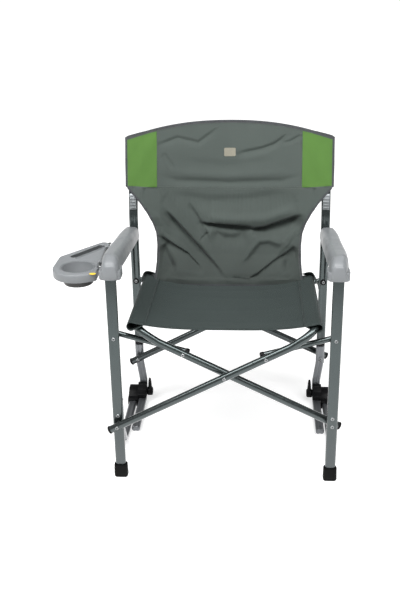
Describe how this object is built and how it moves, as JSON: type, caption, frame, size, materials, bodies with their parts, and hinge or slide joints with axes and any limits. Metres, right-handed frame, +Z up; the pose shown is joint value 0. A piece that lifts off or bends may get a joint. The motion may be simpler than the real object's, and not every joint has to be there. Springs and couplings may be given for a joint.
{
  "type": "director chair",
  "caption": "Side-folding outdoor chair with a crossed steel tube base, fabric seat and back, moulded arms and a fold-up side tray with a cup holder.",
  "frame": {"origin": "middle of the footprint on the floor", "axes": "+Z up, -Y to the front where the sitter faces, +X to the right as seen from the front; the tray is on the -X arm"},
  "size_m": [0.7544, 0.5794, 0.856],
  "materials": {
    "steel_frame": "grey-green metallic powder coat",
    "steel_pale": "pale grey metallic powder coat",
    "zinc": "bright zinc plate",
    "plastic_grey": "satin moulded grey",
    "plastic_black": "satin moulded black",
    "rubber": "matt black",
    "fabric_seat": "coated polyester canvas",
    "fabric_back": "coated polyester canvas with green patches"
  },
  "bodies": {
    "left_side": {"armrest_left": "plastic_grey", "back_upright_left": "steel_frame", "front_foot_left": "rubber", "front_leg_left": "steel_frame", "front_pivot_rivet_left": "zinc", "ground_rail_left": "steel_pale", "ground_rail_cap_left": "plastic_black", "heel_bolt_left": "zinc", "heel_knuckle_left": "plastic_black", "rear_leg_left": "steel_pale", "rear_leg_cap_left": "plastic_black", "rear_pivot_rivet_left": "zinc", "splice_plate_left": "steel_pale", "link_front_left_rivet": "zinc", "link_rear_left_rivet": "zinc", "tray_hinge_pin": "zinc", "back_fabric": "fabric_back"},
    "x_tube_a": {"x_tube_a": "steel_frame", "x_tube_a_cap_front": "plastic_black", "x_tube_a_cap_rear": "plastic_black", "cross_rivet_front": "zinc", "cross_rivet_rear": "zinc", "tube_front_right_stud": "zinc", "tube_rear_right_stud": "zinc", "seat_fabric": "fabric_seat"},
    "x_tube_b": {"x_tube_b": "steel_frame", "x_tube_b_cap_front": "plastic_black", "x_tube_b_cap_rear": "plastic_black", "tube_front_left_stud": "zinc", "tube_rear_left_stud": "zinc"},
    "right_side": {"armrest_right": "plastic_grey", "back_upright_right": "steel_frame", "front_foot_right": "rubber", "front_leg_right": "steel_frame", "front_pivot_rivet_right": "zinc", "ground_rail_right": "steel_pale", "ground_rail_cap_right": "plastic_black", "heel_bolt_right": "zinc", "heel_knuckle_right": "plastic_black", "rear_leg_right": "steel_pale", "rear_leg_cap_right": "plastic_black", "rear_pivot_rivet_right": "zinc", "splice_plate_right": "steel_pale", "link_front_right_rivet": "zinc", "link_rear_right_rivet": "zinc"},
    "link_front_left": {"link_front_left": "steel_frame", "link_front_left_cap": "plastic_black"},
    "link_front_right": {"link_front_right": "steel_frame", "link_front_right_cap": "plastic_black"},
    "link_rear_left": {"link_rear_left": "steel_frame", "link_rear_left_cap": "plastic_black"},
    "link_rear_right": {"link_rear_right": "steel_frame", "link_rear_right_cap": "plastic_black"},
    "cup_tray": {"cup_tray": "plastic_grey", "cup_ring": "plastic_black"},
    "knob_left": {"heel_knob_left": "plastic_black"},
    "knob_right": {"heel_knob_right": "plastic_black"}
  },
  "joints": [
    {"name": "fold", "type": "hinge", "parent": "left_side", "child": "x_tube_a", "pos_m": [-0.21727, -0.25395, 0.164], "axis": [0, -0.9986, 0.0523], "range_deg": [0, 43], "deforming": ["seat_fabric", "back_fabric"]},
    {"name": "scissor", "type": "hinge", "parent": "x_tube_a", "child": "x_tube_b", "pos_m": [0.06273, -0.23785, 0.30725], "axis": [0, -0.9986, 0.0523], "range_deg": [-86, 0]},
    {"name": "right_pivot", "type": "hinge", "parent": "x_tube_b", "child": "right_side", "pos_m": [0.34274, -0.25395, 0.164], "axis": [0, -0.9986, 0.0523], "range_deg": [0, 43]},
    {"name": "link_front_left_pivot", "type": "hinge", "parent": "left_side", "child": "link_front_left", "pos_m": [-0.21727, -0.21754, 0.40809], "axis": [0, -0.9986, 0.0523], "range_deg": [0, 83.02]},
    {"name": "link_front_right_pivot", "type": "hinge", "parent": "right_side", "child": "link_front_right", "pos_m": [0.34274, -0.23552, 0.40903], "axis": [0, -0.9986, 0.0523], "range_deg": [-83.02, 0]},
    {"name": "link_rear_left_pivot", "type": "hinge", "parent": "left_side", "child": "link_rear_left", "pos_m": [-0.21727, 0.22455, 0.38492], "axis": [0, -0.9986, 0.0523], "range_deg": [0, 83.02]},
    {"name": "link_rear_right_pivot", "type": "hinge", "parent": "right_side", "child": "link_rear_right", "pos_m": [0.34274, 0.22455, 0.38492], "axis": [0, -0.9986, 0.0523], "range_deg": [-83.02, 0]},
    {"name": "tray_fold", "type": "hinge", "parent": "left_side", "child": "cup_tray", "pos_m": [-0.25427, -0.20195, 0.5835], "axis": [0, 1, 0], "range_deg": [0, 90]},
    {"name": "knob_left_turn", "type": "hinge", "parent": "left_side", "child": "knob_left", "pos_m": [-0.20627, 0.17605, 0.0255], "axis": [1, 0, 0], "range_deg": [-90, 90]},
    {"name": "knob_right_turn", "type": "hinge", "parent": "right_side", "child": "knob_right", "pos_m": [0.33174, 0.17605, 0.0255], "axis": [1, 0, 0], "range_deg": [-90, 90]}
  ],
  "couplings": [
    {"joint": "scissor", "follows": "fold", "ratio": -2},
    {"joint": "right_pivot", "follows": "fold", "ratio": 1},
    {"joint": "link_front_left_pivot", "follows": "fold", "ratio": 1.9305},
    {"joint": "link_front_right_pivot", "follows": "fold", "ratio": -1.9305},
    {"joint": "link_rear_left_pivot", "follows": "fold", "ratio": 1.9305},
    {"joint": "link_rear_right_pivot", "follows": "fold", "ratio": -1.9305}
  ]
}
